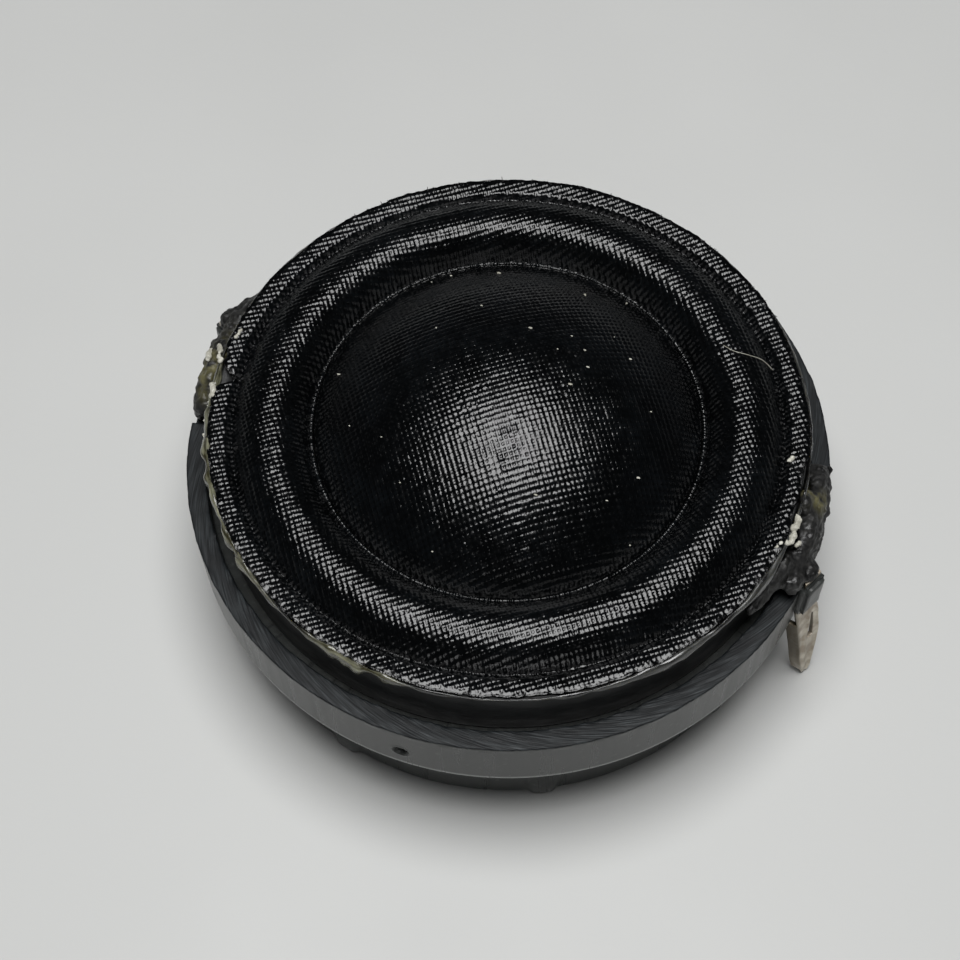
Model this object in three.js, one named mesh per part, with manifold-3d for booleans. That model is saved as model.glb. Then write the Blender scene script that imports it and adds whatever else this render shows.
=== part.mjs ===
// Bare dome tweeter for a car: a coated fabric dome on a glued-in collar, a two-piece moulded
// housing, and a neodymium pot motor inside it. Millimetres, +Z up towards the listener, the
// origin on the axis at the flat back of the housing, +X towards the middle of the right lead joint.
import * as THREE from "three";
import { mergeVertices } from "three/addons/utils/BufferGeometryUtils.js";
import Module from "manifold-3d";

const wasm = await Module();
wasm.setup();

// ---- driving dimensions -------------------------------------------------------------------
const COIL_R = 12.7; // inner radius of the one-inch voice coil, and of the seam round the dome
const SEAM_Z = 15.2; // top of the cloth where the dome meets the roll
const DOME_RISE = 5.4;
const CLOTH = 0.35; // thickness of the coated cloth and its glue film
const ROLL_R = 15.3; // crest of the roll
const ROLL_RISE = 1.9; // crest above the seam
const ROLL_END = 17.95; // foot of the groove between the roll and the rim
const ROLL_END_RISE = 0.3; // that foot above the seam
const FLANGE_R = 19.5; // rim of the cloth, and outside of the collar under it
const FLANGE_Z = SEAM_Z + 0.9;
const COLLAR_INNER_R = 17.9;
const RING_R = 21.4; // outside of the front housing
const RING_INNER_R = 20.1;
const RING_TOP = SEAM_Z - 3.1;
const RING_BOTTOM = SEAM_Z - 8;
const WEB_Z = [8.6, 10.6]; // the web that carries the motor and the collar
const SLEEVE_R = 17.2; // bore of the web round the motor
const CUP_R = 16.9;
const CUP_BORE_R = 13.5;
const CUP_Z = [1.3, 12.4];
const CUP_BASE = 3.4;
const POLE_R = 12.45;
const POLE_THICKNESS = 2;
const MAGNET_R = 11.5;
const REAR_R = 19.7; // outside of the rear housing
const REAR_WALL = 1.3;
const REAR_FLOOR = 1.2;
const REAR_WINDOW_R = 12.5; // round window that shows the back of the motor
const NUB_COUNT = 9;
const NUB_PHASE = -67; // degrees
const LUG_ANGLE = -11.2; // degrees from each lead joint's middle
const LUG_R = 22; // the lug's own origin is here
const LUG_TURN = -19; // degrees, how far the lug's face is turned away from the radius
const LUG_THICKNESS = 0.3;
const LUG_DEPTH = -0.25; // middle of the stem's thickness, from the lug's origin
const LUG_LEAN = 0.15; // outward lean of the blade for each millimetre of drop
const STEM_WIDTH = 1.4;
const STEM_TOP = 12.9;
const FLANGE_FOLD = 195; // degrees from the lug's outward face to its folded flange
const FLANGE_WIDTH = 0.75;
const FLANGE_TOP = 6.9;
const GAP = 0.1; // between faces that are glued or rest on each other
const WIRE_D = 0.3;
const FINE = 72; // facets round the visible rings
const COARSE = 48; // facets round the hidden ones

const rad = THREE.MathUtils.degToRad;

// ---- materials ----------------------------------------------------------------------------
const finish = (color, roughness, metalness = 0) =>
  new THREE.MeshStandardMaterial({ color, roughness, metalness });
const cloth = finish(0x101214, 0.55);
const moulding = finish(0x1c1e20, 0.5);
const adhesive = finish(0x8d8a5c, 0.45);
const hardGlue = finish(0x141312, 0.35);
const steel = finish(0xa8aaac, 0.35, 1);
const magnetPlate = finish(0xc4c6c8, 0.25, 1);
const copper = finish(0xb4643a, 0.35, 1);
const tinned = finish(0xb09a84, 0.4, 1);
const solderMetal = finish(0xc8cacb, 0.3, 1);
const polymer = finish(0xb07c34, 0.4);
const felt = finish(0x3a3a3c, 0.95);

// ---- geometry helpers ---------------------------------------------------------------------
// Turns a profile of [radius, height] points about the Z axis. A profile that closes on itself
// makes a ring, and one that starts and ends on the axis makes a disc. It runs anticlockwise.
function turned(profile, facets = FINE) {
  const onAxis = profile[0][0] === 0;
  const points = (onAxis ? profile : [...profile, profile[0]]).map(
    ([r, z]) => new THREE.Vector2(r, z),
  );
  return new THREE.LatheGeometry(points, facets).rotateX(Math.PI / 2);
}

// A plain ring or disc between two radii and two heights.
const ring = (inner, outer, low, high, facets) =>
  turned([[inner, low], [outer, low], [outer, high], [inner, high]], facets);

// A box that spans radii and heights at one angle, with a given width across.
function radialBox(innerR, outerR, width, low, high, angle) {
  const box = new THREE.BoxGeometry(outerR - innerR, width, high - low);
  box.translate((innerR + outerR) / 2, 0, (low + high) / 2);
  return box.rotateZ(rad(angle));
}

// Places a shape made in the lug's own frame: X outwards through its face, Y across it, Z up.
const inLugFrame = (geometry) =>
  geometry.rotateZ(rad(LUG_TURN)).translate(LUG_R, 0, 0).rotateZ(rad(LUG_ANGLE));

// A box in the lug's frame, as deep as two X values, as high as two Z values and centred across.
function lugBox(inner, outer, width, low, high) {
  const box = new THREE.BoxGeometry(outer - inner, width, high - low);
  return inLugFrame(box.translate((inner + outer) / 2, 0, (low + high) / 2));
}

// A solid through four-cornered outlines, each anticlockwise at its own height, lowest first.
function lofted(sections) {
  const corners = 4;
  const last = (sections.length - 1) * corners;
  const positions = sections.flatMap(({ z, outline }) => outline.flatMap(([x, y]) => [x, y, z]));
  const indices = [0, 2, 1, 0, 3, 2, last, last + 1, last + 2, last, last + 2, last + 3];
  for (let start = 0; start < last; start += corners) {
    for (let c = 0; c < corners; c += 1) {
      const here = start + c;
      const beside = start + ((c + 1) % corners);
      indices.push(here, beside, beside + corners, here, beside + corners, here + corners);
    }
  }
  const geometry = new THREE.BufferGeometry();
  geometry.setAttribute("position", new THREE.Float32BufferAttribute(positions, 3));
  geometry.setIndex(indices);
  return geometry;
}

// A wedge-shaped block between two radii, two heights and two angles.
function arcBlock(innerR, outerR, low, high, from, to, bevel = 0) {
  const shape = new THREE.Shape();
  shape.absarc(0, 0, outerR, rad(from), rad(to), false);
  shape.absarc(0, 0, innerR, rad(to), rad(from), true);
  shape.closePath();
  const block = new THREE.ExtrudeGeometry(shape, {
    depth: high - low - 2 * bevel,
    bevelEnabled: bevel > 0,
    bevelSize: bevel,
    bevelOffset: -bevel,
    bevelThickness: bevel,
    bevelSegments: 2,
    curveSegments: 6,
  });
  return block.translate(0, 0, low + bevel);
}

function toSolid(geometry) {
  const bare = geometry.index ? geometry.toNonIndexed() : geometry.clone();
  bare.deleteAttribute("normal");
  bare.deleteAttribute("uv");
  const merged = mergeVertices(bare, 1e-4);
  return new wasm.Manifold(
    new wasm.Mesh({
      numProp: 3,
      vertProperties: merged.attributes.position.array,
      triVerts: new Uint32Array(merged.index.array),
    }),
  );
}

function fromSolid(solid) {
  const { vertProperties, triVerts } = solid.getMesh();
  const geometry = new THREE.BufferGeometry();
  geometry.setAttribute("position", new THREE.BufferAttribute(vertProperties, 3));
  geometry.setIndex(new THREE.BufferAttribute(triVerts, 1));
  geometry.computeVertexNormals();
  return geometry;
}

// Joins the pieces in add to a base and then cuts the pieces in cut out of it.
function combined(base, add = [], cut = []) {
  let solid = toSolid(base);
  for (const piece of add) solid = solid.add(toSolid(piece));
  for (const piece of cut) solid = solid.subtract(toSolid(piece));
  return fromSolid(solid);
}

const tweeter = new THREE.Group();
function add(name, geometry, material, turnedBy = 0) {
  const mesh = new THREE.Mesh(geometry, material);
  mesh.name = name;
  mesh.rotation.z = rad(turnedBy);
  tweeter.add(mesh);
  return mesh;
}

// ---- diaphragm ----------------------------------------------------------------------------
// Top line of the cloth as a height above the seam, from the seam out to the rim.
function clothLine(steps) {
  const rollStart = COIL_R + 0.45;
  const rollEnd = ROLL_END;
  const line = [];
  for (let i = 0; i <= steps; i += 1) {
    const t = i / steps;
    const r = THREE.MathUtils.lerp(rollStart, rollEnd, t);
    const crest = (ROLL_R - rollStart) / (rollEnd - rollStart);
    const across = t < crest ? 1 - t / crest : (t - crest) / (1 - crest);
    const footRise = t < crest ? 0 : ROLL_END_RISE;
    const rise = footRise + (ROLL_RISE - footRise) * Math.sqrt(1 - across ** 2);
    line.push([r, SEAM_Z + rise]);
  }
  return line;
}

// Half-roll ring of cloth with a flat, slightly raised rim that is glued to the collar.
function surround() {
  const top = [
    [COIL_R + 0.15, SEAM_Z],
    ...clothLine(9),
    [ROLL_END + 0.45, FLANGE_Z - 0.07],
    [FLANGE_R, FLANGE_Z],
  ];
  const underside = top.map(([r, z]) => [r, z - CLOTH]);
  return turned([...underside, ...top.reverse()]);
}

// Shallow spherical cap of cloth.
function dome() {
  const radius = (COIL_R ** 2 + DOME_RISE ** 2) / (2 * DOME_RISE);
  const rings = 9;
  const halfAngle = Math.asin(COIL_R / radius);
  const cap = (r, drop) =>
    Array.from({ length: rings + 1 }, (_, i) => {
      const angle = (halfAngle * i) / rings;
      return [r * Math.sin(angle), SEAM_Z + DOME_RISE - drop - radius + r * Math.cos(angle)];
    });
  const outer = cap(radius, 0);
  const inner = cap(radius - CLOTH, 0);
  inner[0][0] = 0;
  outer[0][0] = 0;
  return turned([...inner, ...outer.reverse()], COARSE);
}

const FORMER_R = COIL_R + 0.12;
const FORMER_Z = [10, SEAM_Z - 0.75];
const WINDING_Z = [10.2, 12.6];
const WINDING_R = [FORMER_R + 0.06, FORMER_R + 0.38];

add("dome", dome(), cloth);
add("surround", surround(), cloth);
add("voice_coil_former", ring(COIL_R, FORMER_R, ...FORMER_Z, COARSE), polymer);
add("voice_coil_winding", ring(...WINDING_R, ...WINDING_Z, COARSE), copper);
add(
  "coil_bond_ring",
  turned(
    [
      [COIL_R - 0.35, FORMER_Z[1] + GAP],
      [FORMER_R + 0.05, FORMER_Z[1] + GAP],
      [COIL_R - 0.02, SEAM_Z - CLOTH - 0.1],
    ],
    COARSE,
  ),
  adhesive,
);

// ---- housing ------------------------------------------------------------------------------
const STEM_CLEARANCE = 0.1; // round the lug's stem in its boss
const BOSS_DEPTH = [-1.6, 0.3]; // in the lug's frame
const BOSS_WIDTH = STEM_WIDTH + 0.6;
const BOSS_Z = [9, 12.5];
const NOTCH_ANGLES = [-14, 11];
const NOTCH_FLOOR = 10.9;
const PIT_ANGLE = -92; // small moulding pit in the wall
const SIDES = [0, 180];

function frontHousing() {
  const edge = 0.15;
  const body = turned([
    [SLEEVE_R, WEB_Z[0]],
    [RING_INNER_R - 0.1, WEB_Z[0]],
    [RING_INNER_R - 0.1, RING_BOTTOM],
    [RING_R - edge, RING_BOTTOM],
    [RING_R, RING_BOTTOM + edge],
    [RING_R, RING_TOP - edge],
    [RING_R - edge, RING_TOP],
    [RING_INNER_R, RING_TOP],
    [RING_INNER_R, WEB_Z[1]],
    [SLEEVE_R, WEB_Z[1]],
  ]);
  const bosses = SIDES.map((side) =>
    lugBox(...BOSS_DEPTH, BOSS_WIDTH, ...BOSS_Z).rotateZ(rad(side)),
  );
  const notches = SIDES.map((side) =>
    arcBlock(19.9, RING_R + 1, NOTCH_FLOOR, RING_TOP + 1, ...NOTCH_ANGLES.map((a) => a + side)),
  );
  const slotHalf = LUG_THICKNESS / 2 + STEM_CLEARANCE;
  const slots = SIDES.map((side) =>
    lugBox(
      LUG_DEPTH - slotHalf,
      LUG_DEPTH + slotHalf,
      STEM_WIDTH + 2 * STEM_CLEARANCE,
      BOSS_Z[0] - 1,
      BOSS_Z[1] + 1,
    ).rotateZ(rad(side)),
  );
  const pit = new THREE.CylinderGeometry(0.5, 0.35, 1, 12);
  pit.rotateZ(-Math.PI / 2).translate(RING_R, 0, RING_TOP - 2.9).rotateZ(rad(PIT_ANGLE));
  return combined(combined(body, [], notches), bosses, [...slots, pit]);
}

function rearHousing() {
  const inner = REAR_R - REAR_WALL;
  const chamfer = 0.4;
  const body = turned([
    [REAR_WINDOW_R, 0],
    [REAR_R - chamfer, 0],
    [REAR_R, chamfer],
    [REAR_R, WEB_Z[0] - 0.2],
    [inner, WEB_Z[0] - 0.2],
    [inner, REAR_FLOOR],
    [REAR_WINDOW_R, REAR_FLOOR],
  ]);
  const nubs = Array.from({ length: NUB_COUNT }, (_, i) =>
    radialBox(inner + 0.3, REAR_R + 0.6, 1.6, 0.3, 2.3, NUB_PHASE + (360 * i) / NUB_COUNT),
  );
  return combined(body, nubs);
}

function collar() {
  const body = turned([
    [SLEEVE_R, WEB_Z[1] + GAP],
    [FLANGE_R - 0.1, WEB_Z[1] + GAP],
    [FLANGE_R - 0.1, SEAM_Z + 0.4],
    [COLLAR_INNER_R, SEAM_Z - 0.2],
    [COLLAR_INNER_R, CUP_Z[1] + 0.2],
    [SLEEVE_R, CUP_Z[1] + 0.2],
  ]);
  const leadSlots = SIDES.map((side) => radialBox(17, 20, 0.9, 14.1, 17, side));
  return combined(body, [], leadSlots);
}

add("front_housing", frontHousing(), moulding);
add("rear_housing", rearHousing(), moulding);
add("diaphragm_collar", collar(), moulding);
add(
  "rim_adhesive",
  turned([
    [FLANGE_R + 0.05, SEAM_Z - 0.2],
    [FLANGE_R + 0.25, SEAM_Z],
    [FLANGE_R + 0.2, FLANGE_Z - CLOTH],
    [FLANGE_R + 0.05, FLANGE_Z - 0.2],
  ]),
  adhesive,
);

// ---- motor --------------------------------------------------------------------------------
const CUP_FLOOR = CUP_Z[0] + CUP_BASE;
const POLE_BOTTOM = CUP_Z[1] - POLE_THICKNESS;
const YOKE_BOSS_R = 12;
add(
  "yoke_cup",
  turned(
    [
      [0, 0.4],
      [YOKE_BOSS_R, 0.4],
      [YOKE_BOSS_R, CUP_Z[0]],
      [CUP_R - 0.5, CUP_Z[0]],
      [CUP_R, CUP_Z[0] + 0.5],
      [CUP_R, CUP_Z[1]],
      [CUP_BORE_R, CUP_Z[1]],
      [CUP_BORE_R, CUP_FLOOR],
      [0, CUP_FLOOR],
    ],
    COARSE,
  ),
  steel,
);
const disc = (radius, low, high) =>
  turned([[0, low], [radius, low], [radius, high], [0, high]], COARSE);
add("magnet", disc(MAGNET_R, CUP_FLOOR + GAP, POLE_BOTTOM - GAP), magnetPlate);
add("pole_plate", disc(POLE_R, POLE_BOTTOM, CUP_Z[1]), steel);
add("damping_pad", disc(MAGNET_R, CUP_Z[1] + GAP, CUP_Z[1] + 1.3), felt);

// ---- terminals and lead joints ------------------------------------------------------------
// How far the lug's blade reaches to the left and right of its middle line at each height.
const BLADE = [
  { z: 0.2, left: 0.12, right: 0.5 },
  { z: 0.6, left: 0, right: 0.78 },
  { z: 4.2, left: -0.3, right: 1.45 },
  { z: 7.4, left: -0.7, right: 1.28 },
  { z: BOSS_Z[0] - 0.05, left: -0.9, right: 0.9 },
];
const SLOT = { width: 0.42, length: 2.6, tilt: -7, y: 0.58, z: 5.7 }; // tilt in degrees
const half = LUG_THICKNESS / 2;

// Middle of the blade's thickness at a height: straight in the boss, and leaning out below it.
const lugDepth = (z) => LUG_DEPTH + Math.max(0, BOSS_Z[0] - z) * LUG_LEAN;

// Solder lug: a stem in the boss, a tapering blade with a slot for the wire, and a narrow flange
// folded in along the blade's left edge.
function lug() {
  const stem = lugBox(LUG_DEPTH - half, LUG_DEPTH + half, STEM_WIDTH, BLADE.at(-1).z - 0.2, STEM_TOP);
  const blade = lofted(
    BLADE.map(({ z, left, right }) => ({
      z,
      outline: [
        [lugDepth(z) - half, left],
        [lugDepth(z) + half, left],
        [lugDepth(z) + half, right],
        [lugDepth(z) - half, right],
      ],
    })),
  );
  const fold = new THREE.Vector2(Math.cos(rad(FLANGE_FOLD)), Math.sin(rad(FLANGE_FOLD)));
  const leftEdge = (z) =>
    BLADE[1].left + ((z - BLADE[1].z) * (BLADE[3].left - BLADE[1].left)) / (BLADE[3].z - BLADE[1].z);
  const flange = lofted(
    [BLADE[1].z, FLANGE_TOP].map((z) => {
      const crease = new THREE.Vector2(lugDepth(z), leftEdge(z) + half);
      const corner = (along, across) => [
        crease.x + fold.x * along - fold.y * across,
        crease.y + fold.y * along + fold.x * across,
      ];
      const outline = [
        corner(0, -half),
        corner(FLANGE_WIDTH, -half),
        corner(FLANGE_WIDTH, half),
        corner(0, half),
      ];
      return { z, outline };
    }),
  );
  const slot = new THREE.BoxGeometry(2, SLOT.width, SLOT.length).rotateX(rad(SLOT.tilt));
  slot.translate(lugDepth(SLOT.z), SLOT.y, SLOT.z);
  return combined(stem, [inLugFrame(blade), inLugFrame(flange)], [inLugFrame(slot)]);
}

const SOLDER_DEPTH = [LUG_DEPTH - half - 0.55, LUG_DEPTH - half - 0.05];
const SOLDER_WIDTH = 1.2;
const SOLDER_Z = [BOSS_Z[1] + 0.1, BOSS_Z[1] + 1];
function solderJoint() {
  return lugBox(...SOLDER_DEPTH, SOLDER_WIDTH, ...SOLDER_Z);
}

// Fine lead from the coil: up the former, across under the roll, out through the collar's
// slot and down to the solder joint.
function lead() {
  const at = (r, angle, z) =>
    new THREE.Vector3(r * Math.cos(rad(angle)), r * Math.sin(rad(angle)), z);
  const route = new THREE.CatmullRomCurve3([
    at(13.35, 0, 12.8),
    at(13.35, 0, 13.6),
    at(13.9, 0, 14.5),
    at(15.2, 0, 16),
    at(16.6, 0, 15.4),
    at(17.6, 0, 14.6),
    at(18.8, 0, 14.5),
    at(19.9, -1, 14.3),
    at(20.3, -5, 13.4),
    at(20.9, -8.3, SOLDER_Z[0] + 0.5),
  ]);
  const section = new THREE.Shape();
  section.absarc(0, 0, WIRE_D / 2, 0, 2 * Math.PI, false);
  return new THREE.ExtrudeGeometry(section, {
    steps: 26,
    extrudePath: route,
    curveSegments: 3,
    bevelEnabled: false,
  });
}

// Lump of hardened glue over the joint, open underneath for the boss, the solder and the lead.
function glueBlob() {
  const block = arcBlock(FLANGE_R + 0.35, 21.5, 11.3, 16, -12.5, 10, 0.4);
  const clearance = 0.35;
  const cavity = [
    lugBox(
      BOSS_DEPTH[0] - clearance,
      BOSS_DEPTH[1] + clearance,
      BOSS_WIDTH + 2 * clearance,
      10,
      SOLDER_Z[1] + 0.3,
    ),
    arcBlock(FLANGE_R, 20.8, 10, 15, -11, 3),
  ];
  return combined(block, [], cavity);
}

SIDES.forEach((side, i) => {
  const name = ["right", "left"][i];
  add(`solder_lug_${name}`, lug(), tinned, side);
  add(`solder_joint_${name}`, solderJoint(), solderMetal, side);
  add(`coil_lead_${name}`, lead(), copper, side);
  add(`glue_blob_${name}`, glueBlob(), hardGlue, side);
});

export default tweeter;
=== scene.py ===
import math

import bmesh
import bpy
import numpy as np
from mathutils import Matrix, Vector, noise


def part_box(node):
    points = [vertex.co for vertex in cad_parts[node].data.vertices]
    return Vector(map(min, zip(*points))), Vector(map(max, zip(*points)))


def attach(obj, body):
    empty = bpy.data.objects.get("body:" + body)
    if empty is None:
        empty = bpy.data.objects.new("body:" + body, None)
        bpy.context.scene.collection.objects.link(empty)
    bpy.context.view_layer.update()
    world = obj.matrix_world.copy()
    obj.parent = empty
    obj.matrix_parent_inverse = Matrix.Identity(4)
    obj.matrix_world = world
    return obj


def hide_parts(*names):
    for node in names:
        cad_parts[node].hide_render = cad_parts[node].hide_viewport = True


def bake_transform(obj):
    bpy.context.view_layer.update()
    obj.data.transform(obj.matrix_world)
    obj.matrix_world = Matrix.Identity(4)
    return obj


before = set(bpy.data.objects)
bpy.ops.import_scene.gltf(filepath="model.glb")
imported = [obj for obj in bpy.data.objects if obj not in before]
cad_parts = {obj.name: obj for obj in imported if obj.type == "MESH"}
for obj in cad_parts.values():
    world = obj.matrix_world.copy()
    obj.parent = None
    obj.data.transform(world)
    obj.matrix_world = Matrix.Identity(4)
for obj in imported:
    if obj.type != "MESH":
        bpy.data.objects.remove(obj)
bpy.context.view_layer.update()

MM = 0.001
TAU = 2 * math.pi
rng = np.random.default_rng(7)


# ---- sizes read from the frame ------------------------------------------------------------------
def top(node):
    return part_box(node)[1] / MM


def bottom(node):
    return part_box(node)[0] / MM


SEAM_R = top("dome").x  # where the dome meets the roll
APEX_Z = top("dome").z
FLANGE_R = top("surround").x  # cut edge of the cloth
CREST_Z = top("surround").z
RING_R = top("front_housing").y  # outside of the front housing
RING_BOTTOM = bottom("front_housing").z
COLLAR_R = top("diaphragm_collar").y
COLLAR_TOP = top("diaphragm_collar").z
COLLAR_BOTTOM = bottom("diaphragm_collar").z
REAR_TOP = top("rear_housing").z
STEM_TOP = top("solder_lug_right").z

# ---- sizes chosen with the CAD ------------------------------------------------------------------
SEAM_Z = 15.2
CLOTH = 0.35  # thickness
CREST_R = 15.3
ROLL_FEET = (13.0, 17.95)  # inner and outer radius of the half roll
ROLL_ROUNDNESS = 2.3  # exponent of its section: 2 is a parabola
FOOT_SOFTNESS = 0.05  # rounding of the corner at each foot
OUTER_FOOT_RISE = 0.30  # of the outer foot above the seam
RIM_RISE = 0.9  # of the rim's cut edge above the seam
RIM_START = 18.4  # the rim lies flat on the collar from here out
RIM_SLOPE = 0.13  # and rises slightly towards its edge
RING_TOP = 12.1
RING_INNER_R = 20.1
REAR_R = 19.7
REAR_WALL = 1.3
REAR_FLOOR = 1.2
WINDOW_R = 12.5  # hole in the rear housing's floor
SLEEVE_R = 17.2  # bore of the ring's web and of the collar
WEB_Z = (8.6, 10.6)
COLLAR_LEDGE = 12.6
LUG_ANGLE = math.radians(-11.2)  # round the axis from the lead joint
LUG_R = 22.0
LUG_TURN = math.radians(-19)  # of its face, from facing straight out
SIDES = {"right": 0.0, "left": math.pi}

# ---- the weave ----------------------------------------------------------------------------------
WARP_PITCH = 0.31
WEFT_PITCH = 0.345
WEAVE_TURN = math.radians(33)
DOME_WEAVE_DEPTH = 0.082
ROLL_WEAVE_DEPTH = 0.092
THREAD_SPREAD = (0.65, 1.1)  # how much one crossing of threads stands up, against the mean
CRIMP = 0.45  # rise and dip of a thread as it crosses the others, against its own height
SAMPLES = 4  # vertices to one thread
EDGE_FADE = 0.3  # the weave flattens over this width at the edges of the cloth
UNDER_BLOCK = 8  # a facet of the smooth underside is this many cells of the weave each way
CUT_SLANT = math.radians(14)  # of the saw marks on the front ring's cut face, to the way round it


# ---- small helpers ------------------------------------------------------------------------------
def wobble(points, size, seed=0):
    """Smooth noise from about -1 to 1 at each point, with features of that size."""
    shift = Vector((17.3, 5.1, 9.7)) * seed
    return np.array([noise.noise(Vector(p) / size + shift) for p in points])


def step_up(low, high, x):
    """0 below low, 1 above high, and a smooth rise between them."""
    t = np.clip((x - low) / (high - low), 0, 1)
    return t * t * (3 - 2 * t)


def angle_from(angle, centre):
    """Signed difference between angles, in radians."""
    return (angle - centre + math.pi) % TAU - math.pi


def bell(angle, centre_deg, half_width_deg):
    """1 at an angle, falling off to each side of it."""
    return np.exp(-((angle_from(angle, math.radians(centre_deg)) / math.radians(half_width_deg)) ** 2))


def on_circle(radius, angle, z=0.0):
    return np.stack([radius * np.cos(angle), radius * np.sin(angle), z + 0 * angle], axis=-1)


def build(name, points, faces, material, **attributes):
    """A mesh object from points in millimetres. Attributes are one number for each point."""
    mesh = bpy.data.meshes.new(name)
    if isinstance(faces, np.ndarray):
        faces = faces.tolist()
    mesh.from_pydata((np.asarray(points) * MM).tolist(), [], faces)
    mesh.polygons.foreach_set("use_smooth", [True] * len(mesh.polygons))
    for key, values in attributes.items():
        mesh.attributes.new(key, "FLOAT", "POINT").data.foreach_set("value", values.astype(np.float32))
    mesh.materials.append(material)
    piece = bpy.data.objects.new(name, mesh)
    bpy.context.scene.collection.objects.link(piece)
    return piece


def dress(piece, slot, body=None, stands_for=()):
    if stands_for:
        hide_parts(*stands_for)
    if body:
        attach(piece, body)


def fillet(profile, radius, steps=3):
    """Rounds each corner of a profile, apart from corners on the axis."""
    closed = profile[0][0] > 0
    rounded = []
    for i, here in enumerate(np.array(profile, float)):
        ends = i in (0, len(profile) - 1)
        if ends and not closed:
            rounded.append(here)
            continue
        before = np.array(profile[i - 1], float) - here
        after = np.array(profile[(i + 1) % len(profile)], float) - here
        start = here + before * min(0.45, radius / np.linalg.norm(before))
        end = here + after * min(0.45, radius / np.linalg.norm(after))
        for t in np.linspace(0, 1, steps + 1):
            rounded.append((1 - t) ** 2 * start + 2 * t * (1 - t) * here + t**2 * end)
    return np.array(rounded)


def every(step):
    """The same step all the way along a profile."""
    return lambda r, z: step


def refined(profile, step):
    """Adds points along a closed profile, no further apart than step(r, z) says for each side."""
    fine = []
    for here, after in zip(profile, np.roll(profile, -1, axis=0)):
        count = max(1, math.ceil(np.linalg.norm(after - here) / step(*(here + after) / 2)))
        fine += [here + (after - here) * k / count for k in range(count)]
    return np.array(fine)


def swept(name, profile, segments, material, change=None, **attributes):
    """Turns a profile about Z. change(r, z, angle) moves its points, and each attribute is a
    function of r, z and angle. A profile that starts on the axis makes a disc."""
    closed = profile[0][0] > 0
    angle, r = np.meshgrid(np.arange(segments) * TAU / segments, profile[:, 0])
    z = np.repeat(profile[:, 1][:, None], segments, axis=1)
    marks = {key: mark(r, z, angle).ravel() for key, mark in attributes.items()}
    if change:
        r, z = change(r, z, angle)
    points = np.stack([r * np.cos(angle), r * np.sin(angle), z], axis=-1).reshape(-1, 3)
    rows = len(profile)
    k, s = np.meshgrid(np.arange(rows if closed else rows - 1), np.arange(segments), indexing="ij")
    above, beside = (k + 1) % rows, (s + 1) % segments
    corners = [k * segments + s, k * segments + beside, above * segments + beside, above * segments + s]
    piece = build(name, points, np.stack(corners, axis=-1).reshape(-1, 4), material, **marks)
    if not closed:
        edit(piece, merge_points)
    return piece


def edit(piece, change):
    """Changes a piece's mesh with a function of its bmesh."""
    bm = bmesh.new()
    bm.from_mesh(piece.data)
    change(bm)
    bm.to_mesh(piece.data)
    bm.free()


def merge_points(bm):
    bmesh.ops.remove_doubles(bm, verts=bm.verts, dist=1e-7)


def drop_loose(bm):
    """Deletes the points that no face uses."""
    bmesh.ops.delete(bm, geom=[v for v in bm.verts if not v.link_faces], context="VERTS")


def tube(route, radius, sides=8):
    """Points and faces of a closed tube along a route. radius is a number, or one for each point."""
    route = np.asarray(route, float)
    radius = np.broadcast_to(radius, len(route))
    along = np.gradient(route, axis=0)
    along /= np.linalg.norm(along, axis=1)[:, None]
    side = np.cross(along, [0.31, 0.17, 0.93])
    side /= np.linalg.norm(side, axis=1)[:, None]
    upward = np.cross(along, side)
    turn = np.arange(sides) * TAU / sides
    ring = np.cos(turn)[:, None, None] * side + np.sin(turn)[:, None, None] * upward
    points = (route + ring * radius[:, None]).transpose(1, 0, 2).reshape(-1, 3)
    faces = [
        [i * sides + j, i * sides + (j + 1) % sides, (i + 1) * sides + (j + 1) % sides, (i + 1) * sides + j]
        for i in range(len(route) - 1)
        for j in range(sides)
    ]
    last = (len(route) - 1) * sides
    return points, faces + [list(range(sides))[::-1], list(range(last, last + sides))]


def joined(parts):
    """One list of points and one of faces from several pairs of them."""
    points, faces, count = [], [], 0
    for some_points, some_faces in parts:
        points.append(some_points)
        faces += [[count + i for i in face] for face in some_faces]
        count += len(some_points)
    return np.concatenate(points), faces


def smooth_route(points, count):
    """A smooth line through a few points: a Catmull-Rom spline."""
    points = np.array(points, float)
    padded = np.concatenate([[2 * points[0] - points[1]], points, [2 * points[-1] - points[-2]]])
    line = []
    for t in np.linspace(0, len(points) - 1 - 1e-6, count):
        i, f = int(t), t % 1
        a, b, c, d = padded[i : i + 4]
        line.append(0.5 * (2 * b + (c - a) * f + (2 * a - 5 * b + 4 * c - d) * f**2
                           + (3 * b - a - 3 * c + d) * f**3))
    return np.array(line)


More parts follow.
